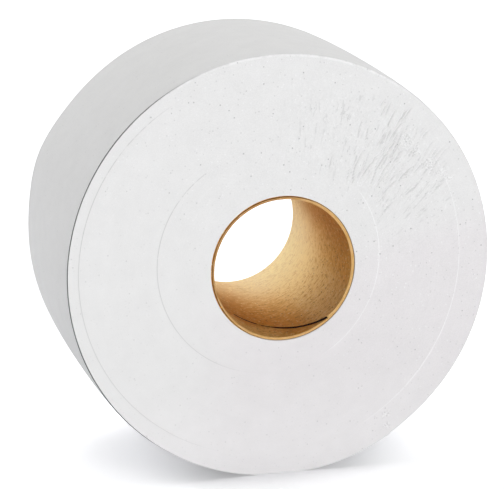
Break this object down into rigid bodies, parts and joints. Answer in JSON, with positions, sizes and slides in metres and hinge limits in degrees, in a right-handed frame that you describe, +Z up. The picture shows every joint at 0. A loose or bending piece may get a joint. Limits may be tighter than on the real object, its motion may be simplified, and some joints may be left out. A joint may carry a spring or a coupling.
{
  "type": "toilet paper roll",
  "caption": "Jumbo toilet paper roll for a dispenser, white sheet wound on a hollow paperboard core, standing on its rim.",
  "frame": {"origin": "middle of the core's bore", "axes": "+Z up, away from the flat spot that the roll stands on; +Y along the core's bore, from the front end to the back end; +X to the right, seen from the front"},
  "size_m": [0.1836, 0.0908, 0.1832],
  "materials": {
    "sheet": "matte",
    "paperboard": "matte"
  },
  "bodies": {
    "root": {"tissue": "sheet", "core": "paperboard"}
  },
  "joints": []
}
